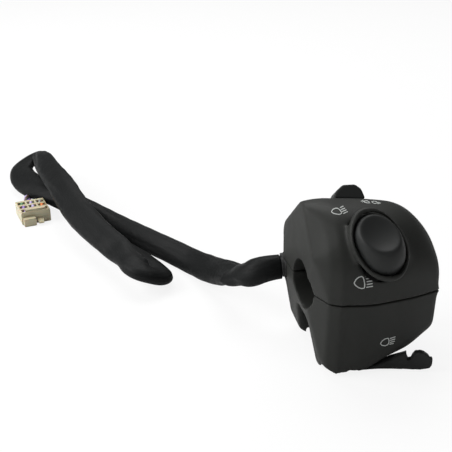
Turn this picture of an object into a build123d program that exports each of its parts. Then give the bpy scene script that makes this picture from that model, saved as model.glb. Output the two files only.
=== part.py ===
from build123d import *
from math import atan2, cos, degrees, pi, radians, sin, sqrt, tan
import os

os.makedirs("parts", exist_ok=True)

# Handlebar switch cluster for the left grip, in millimetres.
# The origin is on the handlebar's axis, +X runs to the grip, -Y to the rider, +Z up.

# Handlebar and casing
bar_d = 22.2
left_end = 27.0
right_end = 29.5
front_reach = 25.4
back_reach = 29.2
crest_z = 38.3
foot_z = 35.5
wall = 2.2
tunnel_wall = 2.5
seam = 0.5

# Fits
over = 1.0
gap = 0.3
slip = 0.05

# Screws that clamp the two halves round the bar
screw_x = -16.5
screw_y = 16.5
screw_d = 5.0
screw_head_d = 8.6
screw_head_h = 3.0
screw_drive_d = 3.2
screw_drive_h = 1.8
pocket_d = 9.8
pocket_h = 8.0
boss_d = 12.8
column_d = 9.6
washer_t = 1.0
insert_d = 6.8
insert_h = 9.0
arch_w = 12.0
arch_deep = 11.5

# Dimmer rocker. Its frame has u across, w up the slope and n out of the casing
rocker_x = -0.9
rocker_lift = 38.0
rocker_yaw = 5.0
rocker_roll = 17.0
rocker_r = 14.4
rocker_half = 10.0
rocker_side_r = 4.0
rocker_hub_r = 3.4
rocker_sunk = 6.0
rocker_throw = 18.0
rim_w = 5.0
top_w = 13.0
top_n = 1.4
dish = 1.7
skirt = 1.2
stem_r = 2.6
stem_h = 7.2
plunger_d = 2.4
plunger_h = 3.6
plunger_out = 1.8
well_gap = 0.55
groove_w = 0.9
groove_h = 0.9
pad_w = 2.2
pad_h = 0.7
pin_d = 2.0
ear_t = 2.0
base_u = 8.8
base_w = 9.0
base_t = 1.2
base_floor = 1.5
base_rim = 12.4
base_foot = 18.8
flange_w = 26.0
flange_t = 2.0
plate_u = 24.0
strip_t = 0.6
strip_w = 4.0
strip_l = 14.0
strip_n = 15.15
see_saw_tilt = 8.0
spring_turns = 4
blade_w = 5.5
blade_n = 16.95
knife_n = 15.9
blade_l = 1.6
blade_t = 0.8
tail_n = 19.3

# Lighting slider on the back slope. Its frame has x along the slide, n out of the casing
slider_x = -3.4
slider_back = 5.6
slider_fall = 7.0
slider_travel = 7.0
knob_l = 13.8
knob_w = 8.4
knob_h = 6.6
knob_stem_l = 6.0
knob_stem_w = 3.6
track_h = 0.3
plate_l = 21.6
plate_w = 7.0
plate_t = 1.2
plate_sunk = 3.0
carriage_h = 1.8
contact_t = 0.5
contact_l = 8.0
contact_w = 4.0
detent_d = 2.4
detent_x = 7.0
detent_y = 1.6
detent_n = 6.2
detent_step = 3.5
plate_n = 4.2
carriage_n = 6.0
carriage_l = 13.6
carriage_x = -2.2
contact_x = 0.4
contact_y = 1.7
block_l = 26.0
block_x = 1.0
block_top = 7.0
block_foot = 12.0
rail_top = 2.6
rail_t = 1.1
terminal_x = 3.5
terminal_step = 6.0
terminal_w = 1.6
terminal_top = 6.8
terminal_foot = 12.7

# Passing trigger
pivot_x = -8.0
pivot_y = -12.0
pivot_d = 4.0
pivot_boss_d = 7.2
hub_d = 10.0
hub_t = 2.4
hub_low = 35.1
arm_t = 3.3
web_w = 6.0
trigger_throw = 8.0
tongue_arm = 7.0
tongue_w = 3.0
tongue_t = 2.4
tongue_top = 17.5
pivot_thread_d = 3.0
pivot_head_d = 6.4
pivot_head_h = 1.1
switch_l = 15.0
switch_w = 8.0
switch_h = 9.0
switch_foot = 25.5
switch_x = 3.5
switch_y = -3.6
switch_pin_d = 2.6
switch_pin_l = 4.5
switch_pin_x = -1.0
switch_pin_z = 21.0
switch_bore = 5.0
post_d = 4.4
post_step = 10.0
trigger_coil_r = 4.2
trigger_wire = 0.6
thin_wire = 0.4

# Harness
exit_y = 26.5
exit_z = 5.0
exit_d = 10.0
bump_l = 14.0
sleeve_d = 8.0
loom_d = 5.0
lead_d = 4.5
wire_d = 1.4
grommet_l = 4.5
flange_d = 9.0
clamp_w = 4.4
clamp_t = 1.2
clamp_x = -7.5
clamp_y = 15.9
clamp_z = 1.2
clamp_screw_d = 2.4
clamp_screw_l = 5.0
floor_z = -foot_z
plug_w = 17.4
plug_l = 18.0
plug_h = 8.0
plug_wall = 1.2
cell = 4.6
cell_gap = 1.0
latch_w = 4.2
latch_l = 5.0

bar_r = bar_d / 2
trigger_push = tongue_arm * sin(radians(trigger_throw))
tunnel_r = bar_r + tunnel_wall
length = left_end + right_end


# Stations along the casing: a share of the length, then the front, crest, back and foot as
# shares of their reaches, then the front corner's height, inset and radius
bevel_shares = [
    (0.000, 0.56, 0.960, 0.975, 0.960, 0.47, -0.06, 0.12),
    (0.095, 0.82, 0.975, 1.000, 1.000, 0.54, 0.20, 0.42),
    (0.186, 0.95, 0.975, 1.000, 1.000, 0.575, 0.37, 0.64),
]
body_shares = [
    bevel_shares[-1],
    (0.336, 1.000, 0.950, 1.000, 0.960, 0.58, 0.37, 0.64),
    (0.549, 0.992, 0.920, 0.990, 0.870, 0.58, 0.37, 0.64),
    (0.708, 0.950, 0.875, 0.945, 0.790, 0.58, 0.37, 0.64),
    (0.832, 0.895, 0.795, 0.875, 0.705, 0.58, 0.37, 0.64),
    (0.929, 0.835, 0.660, 0.790, 0.615, 0.58, 0.37, 0.64),
    (0.984, 0.795, 0.530, 0.715, 0.570, 0.58, 0.37, 0.62),
    (1.000, 0.765, 0.470, 0.660, 0.530, 0.58, 0.37, 0.58),
]
crest_back_share = 0.22
shoulder_share = 0.46
toe_share = 0.94
heel_share = 0.86
small_bend = 4.0
back_bend = 9.0
bend_share = 0.45

# Flat cuts at the left end: a point on each, and the way it faces
side_cut = ((-left_end, -6.0, 0.0), (-0.921, -0.361, -0.144))
side_low_cut = ((-left_end, -6.0, 0.0), (-0.931, -0.364, 0.0))
rear_cut = ((-left_end, 0.0, -5.0), (-0.985, 0.0, -0.174))
toe_cut = ((-20.5, -19.0, -32.0), (-0.62, -0.45, -0.64))
heel_cut = ((-20.5, 16.5, -32.0), (-0.66, 0.15, -0.74))


def casing_section(row, inset=0):
    """Closed outline of the casing across the bar at one station."""
    along, front, top, back, foot, knee, brow, bend = row
    low, high = -foot * foot_z + inset, top * crest_z - inset
    near, far = -front * front_reach + inset, back * back_reach - inset
    corners = [
        (near * toe_share, low),
        (near, top * crest_z * knee - inset * shoulder_share),
        (-front * front_reach * brow + inset * shoulder_share, high),
        (far * crest_back_share, high),
        (far, high * shoulder_share),
        (far * heel_share, low),
    ]
    round_r = bend * top * crest_z * (1 - inset / crest_z) - inset
    small_r = small_bend - inset / 2
    radii = [small_r, round_r, round_r, small_bend, back_bend - inset, small_r]
    with BuildSketch(Plane.YZ.offset(along * length - left_end)) as outline:
        with BuildLine():
            FilletPolyline(*corners, radius=radii, close=True)
        make_face()
    return outline.sketch


def casing_form(inset=0):
    """Solid form of the casing, drawn in by a wall on every side."""
    end_share = inset / length
    bevel = [(max(row[0], end_share), *row[1:]) for row in bevel_shares]
    body = [(min(row[0], 1 - end_share), *row[1:]) for row in body_shares]
    if inset:
        body = body[:-1]
    with BuildPart() as form:
        loft([casing_section(row, inset) for row in bevel], ruled=True)
        loft([casing_section(row, inset) for row in body])
    return form.part


def half(form, cuts, inset=0, keep=Keep.TOP, seam_z=0):
    """One half of a casing form, with the flat cuts at its left end."""
    with BuildPart() as piece:
        add(form)
        split(bisect_by=Plane.XY.offset(seam_z), keep=keep)
        for corner, outward in cuts:
            drawn_in = Vector(*corner) - Vector(*outward).normalized() * inset
            split(bisect_by=Plane(drawn_in, z_dir=outward), keep=Keep.BOTTOM)
    return piece.part


outer_form = casing_form()
hollow_form = casing_form(wall)
inner_form = casing_form(wall + gap)

upper_cuts = [side_cut]
lower_cuts = [side_low_cut, rear_cut, toe_cut, heel_cut]
upper_outer = half(outer_form, upper_cuts, seam_z=seam / 2)
upper_hollow = half(hollow_form, upper_cuts, wall)
lower_outer = half(outer_form, lower_cuts, 0, Keep.BOTTOM, -seam / 2)
lower_hollow = half(hollow_form, lower_cuts, wall, Keep.BOTTOM)


def station(x):
    """Crest, back and foot of the casing at one x, between its stations."""
    share = (x + left_end) / length
    rows = bevel_shares[:-1] + body_shares
    for low, high in zip(rows, rows[1:]):
        if share <= high[0]:
            part_way = (share - low[0]) / (high[0] - low[0])
            return [a + (b - a) * part_way for a, b in zip(low, high)]
    return rows[-1]


def foot_at(x):
    return -station(x)[4] * foot_z


# Frames of the two knobs
yaw_in, lift, roll = radians(rocker_yaw), radians(rocker_lift), radians(rocker_roll)
rocker_n = Vector(sin(yaw_in) * cos(lift), -cos(yaw_in) * cos(lift), sin(lift))
uphill = Vector(-sin(yaw_in) * sin(lift), cos(yaw_in) * sin(lift), cos(lift))
level = Vector(cos(yaw_in), sin(yaw_in), 0)
rocker_u = level * cos(roll) + uphill * sin(roll)
rocker_w = uphill * cos(roll) - level * sin(roll)
rocker_y_share = 0.85
rocker_z_share = 0.695
rocker_at = Vector(rocker_x, -front_reach * rocker_y_share, crest_z * rocker_z_share)
rocker_plane = Plane(rocker_at, x_dir=rocker_u, z_dir=rocker_n)
pivot_at = rocker_at - rocker_n * rocker_sunk

row_here = station(slider_x)
crest_here = row_here[2] * crest_z
far_here = row_here[3] * back_reach
slope = atan2(crest_here * (1 - shoulder_share), far_here * (1 - crest_back_share))
down_back = Vector(0, cos(slope), -sin(slope))
slope_n = Vector(0, sin(slope), cos(slope))
slider_at = Vector(slider_x, far_here * crest_back_share, crest_here) + down_back * slider_back
fall = radians(slider_fall)
slider_n = slope_n * cos(fall) + Vector(sin(fall), 0, 0)
slide_dir = Vector(cos(fall), 0, 0) - slope_n * sin(fall)
slider_plane = Plane(slider_at, x_dir=slide_dir, z_dir=slider_n)


def helix_spring(base, r, h, turns, wire):
    """Round wire spring that stands on a plane."""
    rise = h - wire
    path = Helix(pitch=rise / turns, height=rise, radius=r)
    start = Plane(path @ 0, z_dir=path % 0)
    with BuildPart() as spring:
        with BuildSketch(start):
            RegularPolygon(wire / 2, 6)
        sweep(path=path, is_frenet=True)
    return base.offset(wire / 2).location * spring.part


def bend_radii(points):
    """Radius of each bend, from the shorter run beside it and the turn."""
    radii = []
    for before, at, after in zip(points, points[1:], points[2:]):
        run_in, run_out = Vector(*at) - Vector(*before), Vector(*after) - Vector(*at)
        half_turn = radians(run_in.get_angle(run_out)) / 2
        radii.append(bend_share * min(run_in.length, run_out.length) / tan(half_turn))
    return radii


def tube(points, r):
    """Round tube along straight runs joined by tangent bends."""
    heading = Vector(*points[1]) - Vector(*points[0])
    with BuildPart() as piece:
        with BuildLine():
            FilletPolyline(*points, radius=bend_radii(points))
        with BuildSketch(Plane(points[0], z_dir=heading)):
            Circle(r)
        sweep()
    return piece.part


def barrel(half_width, r, side_r):
    """Rocker knob's form of revolution about its pivot."""
    with BuildPart() as form:
        with BuildSketch(Plane(pivot_at, x_dir=rocker_u, z_dir=-rocker_w)):
            with BuildLine():
                Line((-half_width, side_r), (-half_width, 0))
                Line((-half_width, 0), (half_width, 0))
                Line((half_width, 0), (half_width, side_r))
                EllipticalCenterArc((0, side_r), half_width, r - side_r, 0, arc_size=180)
            make_face()
        revolve(axis=Axis(pivot_at, rocker_u))
    return form.part


# Upper casing: a shell with its half of the bar tunnel, screw columns and rocker rim
with BuildPart() as rocker_rim:
    with BuildSketch(rocker_plane.offset(-groove_h * 3)):
        Ellipse(rocker_half + pad_w, rocker_r + pad_w)
    extrude(amount=groove_h * 3 + pad_h)
    fillet(faces().sort_by(Axis(rocker_at, rocker_n))[-1].edges(), pad_h * 0.9)

with BuildPart() as upper_fill:
    with BuildSketch(Plane.YZ.offset(-left_end)):
        Circle(tunnel_r)
    extrude(amount=length)
    with BuildSketch(Plane.XY):
        with Locations((screw_x, screw_y), (screw_x, -screw_y)):
            Circle(column_d / 2)
    extrude(amount=crest_z)
    add(upper_outer, mode=Mode.INTERSECT)

with BuildPart() as slider_slot:
    with BuildSketch(slider_plane.offset(-wall * 2)):
        with Locations((slider_travel / 2, 0)):
            SlotOverall(knob_stem_l + slider_travel + gap * 4, knob_stem_w + gap * 2)
    extrude(amount=wall * 3)
    with BuildSketch(slider_plane.offset(-track_h)):
        with Locations((slider_travel / 2, 0)):
            Rectangle(knob_l + slider_travel + over * 2, knob_w + over)
    extrude(amount=wall)

with BuildPart() as upper_housing:
    add(upper_outer)
    add(upper_hollow, mode=Mode.SUBTRACT)
    add(upper_fill.part)
    add(rocker_rim.part)
    with BuildSketch(Plane.YZ.offset(-left_end - over)):
        Circle(bar_r)
    extrude(amount=length + over * 2, mode=Mode.SUBTRACT)
    with BuildSketch(Plane.XY):
        with Locations((screw_x, screw_y), (screw_x, -screw_y)):
            Circle(insert_d / 2)
    extrude(amount=insert_h + seam, mode=Mode.SUBTRACT)
    add(barrel(rocker_half + well_gap, rocker_r + well_gap, rocker_side_r), mode=Mode.SUBTRACT)
    with BuildSketch(rocker_plane.offset(pad_h - groove_h)):
        Ellipse(rocker_half + well_gap + groove_w, rocker_r - groove_w / 2)
    extrude(amount=groove_h + over, mode=Mode.SUBTRACT)
    add(slider_slot.part, mode=Mode.SUBTRACT)
    with BuildSketch(Plane(pivot_at, x_dir=rocker_w, z_dir=rocker_u)):
        Circle(pin_d / 2 + gap)
    extrude(amount=plate_u / 2 + gap, both=True, mode=Mode.SUBTRACT)
upper_housing.part.label = "upper_housing"
export_step(upper_housing.part, "parts/upper_housing.step")

# Ways through the lower casing for the loom, the trigger's screw and its tongue
loom_way = [
    (-left_end, exit_y, -exit_z),
    (-20.0, exit_y, -exit_z),
    (-14.0, 25.6, -exit_z),
    (-7.5, 20.6, -exit_z - over),
    (-3.0, 18.4, -exit_z - over * 2),
]
tongue_x = pivot_x + tongue_arm
tongue_y = pivot_y + over
coil_low = -(hub_low + switch_foot) / 2 + over
coil_h = trigger_wire * 4
with BuildPart() as trigger_ways:
    with BuildSketch(Plane.XY.offset(coil_low - gap)):
        with Locations((pivot_x, pivot_y)):
            Circle(trigger_coil_r + trigger_wire / 2 + gap)
            Circle(pivot_boss_d / 2, mode=Mode.SUBTRACT)
    extrude(amount=coil_h + gap * 2)
    with BuildSketch(Plane.XY.offset(-foot_z)):
        with Locations((tongue_x - gap / 2, tongue_y + trigger_push / 2)):
            Rectangle(tongue_w + over * 1.2, tongue_t + trigger_push + over * 1.2)
    extrude(amount=foot_z - switch_foot)
    with BuildSketch(Plane.XY.offset(-foot_z)):
        with Locations((pivot_x, pivot_y)):
            Circle(pivot_thread_d / 2)
    extrude(amount=foot_z - switch_foot + wall)
    with BuildSketch(Plane.XY.offset(-clamp_z - clamp_screw_l - over)):
        with Locations((clamp_x, clamp_y)):
            Circle(clamp_screw_d / 2)
    extrude(amount=clamp_screw_l + over)

# Lower casing: a shell with the other half of the tunnel, the screw bosses, the arch
# between them, the cable's way out and the trigger's seat
screw_spots = [(screw_x, screw_y), (screw_x, -screw_y)]
hub_top = -hub_low + hub_t + gap
with BuildPart() as arch_cut:
    with BuildSketch(Plane.YZ.offset(-left_end - over)):
        with BuildLine():
            FilletPolyline(
                (arch_w, -foot_z - over),
                (arch_w * 0.85, -tunnel_r - wall / 2),
                (-arch_w * 0.35, -tunnel_r - wall),
                (-arch_w * 0.75, -foot_z - over),
                radius=small_bend,
            )
            Line((-arch_w * 0.75, -foot_z - over), (arch_w, -foot_z - over))
        make_face()
    extrude(amount=arch_deep + over)

with BuildPart() as lower_fill:
    with BuildSketch(Plane.YZ.offset(-left_end)):
        Circle(tunnel_r)
    extrude(amount=length)
    with BuildSketch(Plane.XY):
        with Locations(*screw_spots):
            Circle(boss_d / 2)
    extrude(amount=-foot_z)
    with BuildSketch(Plane.YZ.offset(-left_end)):
        with Locations((exit_y, -exit_z)):
            Circle(exit_d / 2 + wall)
    extrude(amount=bump_l)
    with BuildSketch(Plane.YZ.offset(-left_end)):
        with Locations((0, -foot_z / 2)):
            Rectangle(arch_w * 2 + wall * 2, foot_z)
    extrude(amount=arch_deep + wall)
    with BuildSketch(Plane.XY.offset(foot_at(pivot_x))):
        with Locations((pivot_x, pivot_y)):
            Circle(hub_d / 2 + wall)
    extrude(amount=wall * 2)
    with BuildSketch(Plane.XY.offset(foot_at(pivot_x))):
        with Locations((pivot_x, pivot_y)):
            Circle(pivot_boss_d / 2)
    extrude(amount=foot_z / 3)
    with BuildSketch(Plane.XY.offset(-foot_z)):
        with Locations((switch_x, switch_y)):
            with GridLocations(post_step, 0, 2, 1):
                Circle(post_d / 2)
    extrude(amount=foot_z - switch_foot)
    with BuildSketch(Plane.XY.offset(-foot_z)):
        with Locations((clamp_x, clamp_y)):
            Circle(clamp_w / 2)
    extrude(amount=foot_z - clamp_z - clamp_t)
    add(lower_outer, mode=Mode.INTERSECT)

with BuildPart() as exit_bump:
    with BuildSketch(Plane.YZ.offset(-left_end + over)):
        with Locations((exit_y, -exit_z)):
            Circle(exit_d / 2 + wall)
    extrude(amount=bump_l)
    fillet(edges().filter_by(GeomType.CIRCLE), over)
    split(bisect_by=Plane.XY.offset(-seam / 2), keep=Keep.BOTTOM)

with BuildPart() as lower_housing:
    add(lower_outer)
    add(exit_bump.part)
    add(lower_hollow, mode=Mode.SUBTRACT)
    add(lower_fill.part)
    with BuildSketch(Plane.YZ.offset(-left_end - over)):
        Circle(bar_r)
    extrude(amount=length + over * 2, mode=Mode.SUBTRACT)
    with BuildSketch(Plane.YZ.offset(-left_end - over)):
        with Locations((exit_y, -exit_z)):
            Circle(exit_d / 2)
        with Locations((exit_y, 0)):
            Rectangle(exit_d, exit_z * 2)
    extrude(amount=bump_l, mode=Mode.SUBTRACT)
    add(tube(loom_way, loom_d / 2 + gap), mode=Mode.SUBTRACT)
    add(arch_cut.part, mode=Mode.SUBTRACT)
    with BuildSketch(Plane.XY):
        with Locations(*screw_spots):
            Circle(screw_d / 2 + gap)
    extrude(amount=-foot_z, mode=Mode.SUBTRACT)
    with BuildSketch(Plane.XY.offset(-foot_z - over)):
        with Locations(*screw_spots):
            Circle(pocket_d / 2)
    extrude(amount=pocket_h + over, mode=Mode.SUBTRACT)
    with BuildSketch(Plane.XY.offset(-foot_z - over)):
        with Locations((pivot_x, pivot_y)):
            Circle(hub_d / 2 + gap * 2)
    extrude(amount=foot_z + over + hub_top, mode=Mode.SUBTRACT)
    add(trigger_ways.part, mode=Mode.SUBTRACT)
lower_housing.part.label = "lower_housing"
export_step(lower_housing.part, "parts/lower_housing.step")

# Screws that pull the halves together, their washers and the threaded inserts
pocket_top = pocket_h - foot_z
head_top = pocket_top - washer_t
with BuildPart() as screw_washers:
    with BuildSketch(Plane.XY.offset(pocket_top)):
        with Locations(*screw_spots):
            Circle(screw_head_d / 2 + slip * 2)
            Circle(screw_d / 2 + slip, mode=Mode.SUBTRACT)
    extrude(amount=-washer_t)
screw_washers.part.label = "screw_washers"
export_step(screw_washers.part, "parts/screw_washers.step")

with BuildPart() as housing_screws:
    with BuildSketch(Plane.XY.offset(head_top)):
        with Locations(*screw_spots):
            Circle(screw_head_d / 2)
    extrude(amount=-screw_head_h)
    with BuildSketch(Plane.XY.offset(head_top)):
        with Locations(*screw_spots):
            Circle(screw_d / 2 - slip)
    extrude(amount=insert_h - head_top - over)
    with BuildSketch(Plane.XY.offset(head_top - screw_head_h)):
        with Locations(*screw_spots):
            Rectangle(screw_drive_d, over)
            Rectangle(over, screw_drive_d)
    extrude(amount=screw_drive_h, mode=Mode.SUBTRACT)
    heads = faces().filter_by(Axis.Z).sort_by(Axis.Z)[:2]
    chamfer(heads.edges().filter_by(GeomType.CIRCLE), gap)
housing_screws.part.label = "housing_screws"
export_step(housing_screws.part, "parts/housing_screws.step")

with BuildPart() as screw_inserts:
    with BuildSketch(Plane.XY.offset(seam / 2)):
        with Locations(*screw_spots):
            Circle(insert_d / 2 - slip)
            Circle(screw_d / 2, mode=Mode.SUBTRACT)
    extrude(amount=insert_h)
screw_inserts.part.label = "screw_inserts"
export_step(screw_inserts.part, "parts/screw_inserts.step")

# Dimmer rocker: a dished barrel with a hub round its pin and a hollow stem below
tilt = radians(rocker_throw / 2)
neutral_n = rocker_n * cos(tilt) + rocker_w * sin(tilt)
pin_plane = Plane(pivot_at, x_dir=rocker_u, z_dir=neutral_n)
across_plane = Plane(pivot_at, x_dir=rocker_w, z_dir=rocker_u)
rim_n = sqrt(rocker_r**2 - rim_w**2) - rocker_sunk
chord = Vector(top_w + rim_w, top_n - rim_n)
facing = Vector(-chord.Y, chord.X).normalized()
dish_r = (chord.length**2 / 4 + dish**2) / (2 * dish)
dish_at = Vector(top_w - rim_w, top_n + rim_n) / 2 + facing * (dish_r - dish)
with BuildPart() as dimmer_rocker:
    add(barrel(rocker_half, rocker_r, rocker_side_r))
    split(bisect_by=pin_plane.offset(skirt), keep=Keep.TOP)
    with Locations(rocker_plane * Pos(0, dish_at.X, dish_at.Y)):
        Sphere(dish_r, mode=Mode.SUBTRACT)
    rim = edges().filter_by(GeomType.PLANE, reverse=True).sort_by(Axis(rocker_at, rocker_n))[-1]
    fillet(rim, gap)
    with BuildSketch(across_plane):
        Circle(rocker_hub_r)
    extrude(amount=rocker_half, both=True)
    with BuildSketch(pin_plane):
        Circle(stem_r)
    extrude(amount=-stem_h)
    with BuildSketch(across_plane):
        Circle(pin_d / 2 + slip)
    extrude(amount=rocker_half + over, both=True, mode=Mode.SUBTRACT)
    with BuildSketch(pin_plane.offset(-stem_h - over)):
        Circle(plunger_d / 2 + slip)
    extrude(amount=stem_h + over - pin_d, mode=Mode.SUBTRACT)
dimmer_rocker.part.label = "dimmer_rocker"
export_step(dimmer_rocker.part, "parts/dimmer_rocker.step")

with BuildPart() as rocker_pin:
    with BuildSketch(across_plane):
        Circle(pin_d / 2)
    extrude(amount=plate_u / 2, both=True)
rocker_pin.part.label = "rocker_pin"
export_step(rocker_pin.part, "parts/rocker_pin.step")

with BuildPart() as rocker_plunger:
    with BuildSketch(pin_plane.offset(-stem_h - plunger_out)):
        Circle(plunger_d / 2)
    extrude(amount=plunger_h)
    tips = edges().filter_by(GeomType.CIRCLE).sort_by(Axis(pivot_at, neutral_n))
    fillet(tips[0], plunger_d / 4)
rocker_plunger.part.label = "rocker_plunger"
export_step(rocker_plunger.part, "parts/rocker_plunger.step")

spring_seat = pin_d + slip
spring_room = stem_h + plunger_out - plunger_h - spring_seat - slip
rocker_spring = helix_spring(
    pin_plane.offset(-spring_seat - spring_room),
    (plunger_d - thin_wire) / 2 - slip,
    spring_room,
    spring_turns,
    thin_wire,
)
rocker_spring.label = "rocker_spring"
export_step(rocker_spring, "parts/rocker_spring.step")

# Room left round the screw columns inside the upper casing
with BuildPart() as column_room:
    with BuildSketch(Plane.XY):
        with Locations(*screw_spots):
            Circle(column_d / 2 + gap)
    extrude(amount=crest_z)

# Contact base under the rocker: an open box with a flange and the pin's ears
with BuildPart() as rocker_base:
    with BuildSketch(rocker_plane.offset(-base_foot)):
        Rectangle(base_u * 2, base_w * 2)
    extrude(amount=base_foot - base_rim)
    with BuildSketch(rocker_plane.offset(-base_rim)):
        Rectangle(plate_u, flange_w)
    extrude(amount=flange_t)
    with BuildSketch(across_plane):
        Circle(pin_d / 2 + base_t)
        with Locations((0, -(base_rim - rocker_sunk) / 2)):
            Rectangle(pin_d + base_t * 2, base_rim - rocker_sunk)
    extrude(amount=plate_u / 2, both=True)
    with BuildSketch(across_plane):
        with Locations((0, flange_t - base_rim + rocker_sunk + base_foot / 2)):
            Rectangle(flange_w, base_foot)
    extrude(amount=rocker_half + gap, both=True, mode=Mode.SUBTRACT)
    with BuildSketch(rocker_plane.offset(base_floor - base_foot)):
        RectangleRounded((base_u - base_t) * 2, (base_w - base_t) * 2, over)
    extrude(amount=base_foot, mode=Mode.SUBTRACT)
    with BuildSketch(across_plane):
        Circle(pin_d / 2)
    extrude(amount=plate_u, both=True, mode=Mode.SUBTRACT)
    with BuildSketch(rocker_plane.offset(-base_foot - over)):
        with GridLocations(0, blade_w, 1, 3):
            Rectangle(blade_l + slip, blade_t + slip)
    extrude(amount=base_foot, mode=Mode.SUBTRACT)
    add(inner_form, mode=Mode.INTERSECT)
    add(column_room.part, mode=Mode.SUBTRACT)
rocker_base.part.label = "rocker_base"
export_step(rocker_base.part, "parts/rocker_base.step")

with BuildPart() as rocker_terminals:
    with BuildSketch(rocker_plane.offset(-tail_n)):
        with GridLocations(0, blade_w * 2, 1, 2):
            Rectangle(blade_l, blade_t)
    extrude(amount=tail_n - blade_n)
    with BuildSketch(rocker_plane.offset(-tail_n)):
        Rectangle(blade_l, blade_t)
    extrude(amount=tail_n - knife_n)
    knife = edges().filter_by(Axis(rocker_at, rocker_u)).sort_by(Axis(rocker_at, rocker_n))[-2:]
    chamfer(knife, blade_t * 0.4)
rocker_terminals.part.label = "rocker_terminals"
export_step(rocker_terminals.part, "parts/rocker_terminals.step")

strip_at = rocker_at - rocker_n * strip_n
lean = radians(see_saw_tilt)
strip_out = rocker_n * cos(lean) - rocker_w * sin(lean)
with BuildPart() as rocker_see_saw:
    with BuildSketch(Plane(strip_at, x_dir=rocker_u, z_dir=strip_out)):
        RectangleRounded(strip_w, strip_l, over)
    extrude(amount=-strip_t)
rocker_see_saw.part.label = "rocker_see_saw"
export_step(rocker_see_saw.part, "parts/rocker_see_saw.step")

# Lighting slider: a ridged knob on a stem that drives a carriage under the roof
knob_shares = [(-1, 0), (-1, 0.25), (-0.85, 0.52), (-0.42, 0.94), (0.42, 1), (0.81, 0.7)]
knob_shares += [(1, 0.15), (1, 0)]
with BuildPart() as light_slider:
    with BuildSketch(Plane(slider_at + down_back * knob_w / 2, x_dir=slide_dir, z_dir=-down_back)):
        with BuildLine():
            Polyline(*[(a * knob_l / 2, b * knob_h) for a, b in knob_shares], close=True)
        make_face()
    extrude(amount=knob_w)
    ends = edges().filter_by(Axis(slider_at, down_back))
    fillet(ends.sort_by(Axis(slider_at, slider_n))[4:], over)
    sides = edges().filter_by(Axis(slider_at, slide_dir)).sort_by(Axis(slider_at, slider_n))
    with BuildSketch(slider_plane.offset(-plate_sunk)):
        SlotOverall(knob_stem_l, knob_stem_w)
    extrude(amount=plate_sunk)
light_slider.part.label = "light_slider"
export_step(light_slider.part, "parts/light_slider.step")

with BuildPart() as slider_carriage:
    with BuildSketch(slider_plane.offset(-plate_n)):
        RectangleRounded(plate_l, plate_w, over)
    extrude(amount=plate_t)
    with BuildSketch(slider_plane.offset(-carriage_n)):
        with Locations((carriage_x, 0)):
            Rectangle(carriage_l, plate_w - over)
    extrude(amount=carriage_h)
    with BuildSketch(slider_plane.offset(-carriage_n - over)):
        with Locations((-detent_x, -detent_y)):
            Circle(detent_d / 2 + slip)
    extrude(amount=carriage_h + over, mode=Mode.SUBTRACT)
slider_carriage.part.label = "slider_carriage"
export_step(slider_carriage.part, "parts/slider_carriage.step")

with BuildPart() as slider_contact:
    with BuildSketch(slider_plane.offset(-carriage_n - contact_t)):
        with Locations((contact_x, contact_y)):
            Rectangle(contact_l, contact_w / 2)
    extrude(amount=contact_t)
slider_contact.part.label = "slider_contact"
export_step(slider_contact.part, "parts/slider_contact.step")

ball_at = slider_plane.from_local_coords(Vector(-detent_x, -detent_y, -detent_n))
with BuildPart() as slider_detent_ball:
    with Locations(Pos(*ball_at)):
        Sphere(detent_d / 2)
slider_detent_ball.part.label = "slider_detent_ball"
export_step(slider_detent_ball.part, "parts/slider_detent_ball.step")

ball_top = detent_n - detent_d / 2
spring_base = Plane(ball_at + slider_n * (detent_d / 2 + slip), z_dir=slider_n)
slider_detent_spring = helix_spring(
    spring_base, detent_d / 4, ball_top - plate_n - slip * 2, spring_turns / 2, thin_wire
)
slider_detent_spring.label = "slider_detent_spring"
export_step(slider_detent_spring, "parts/slider_detent_spring.step")

# Fixed base under the slider: rails for the carriage and a notched groove for the ball
with BuildPart() as slider_base:
    with BuildSketch(slider_plane.offset(-block_foot)):
        with Locations((block_x, 0)):
            Rectangle(block_l, plate_w + (gap + rail_t) * 2)
    extrude(amount=block_foot - rail_top)
    with BuildSketch(slider_plane.offset(-block_top)):
        with Locations((block_x, 0)):
            Rectangle(block_l + over, plate_w + gap * 2)
    extrude(amount=block_top, mode=Mode.SUBTRACT)
    with BuildSketch(slider_plane.offset(-detent_n - detent_d / 2 - gap)):
        with Locations((detent_step - detent_x, -detent_y)):
            SlotOverall(slider_travel + detent_d * 2, detent_d + gap)
    extrude(amount=over, mode=Mode.SUBTRACT)
    with BuildSketch(slider_plane.offset(-block_foot - over)):
        with Locations((terminal_x, contact_y)):
            with GridLocations(terminal_step, 0, 3, 1):
                Rectangle(terminal_w + slip, blade_t + slip)
    extrude(amount=block_foot, mode=Mode.SUBTRACT)
    add(inner_form, mode=Mode.INTERSECT)
    add(column_room.part, mode=Mode.SUBTRACT)
slider_base.part.label = "slider_base"
export_step(slider_base.part, "parts/slider_base.step")

with BuildPart() as slider_terminals:
    with BuildSketch(slider_plane.offset(-terminal_foot)):
        with Locations((terminal_x, contact_y)):
            with GridLocations(terminal_step, 0, 3, 1):
                Rectangle(terminal_w, blade_t)
    extrude(amount=terminal_foot - terminal_top)
slider_terminals.part.label = "slider_terminals"
export_step(slider_terminals.part, "parts/slider_terminals.step")

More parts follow.
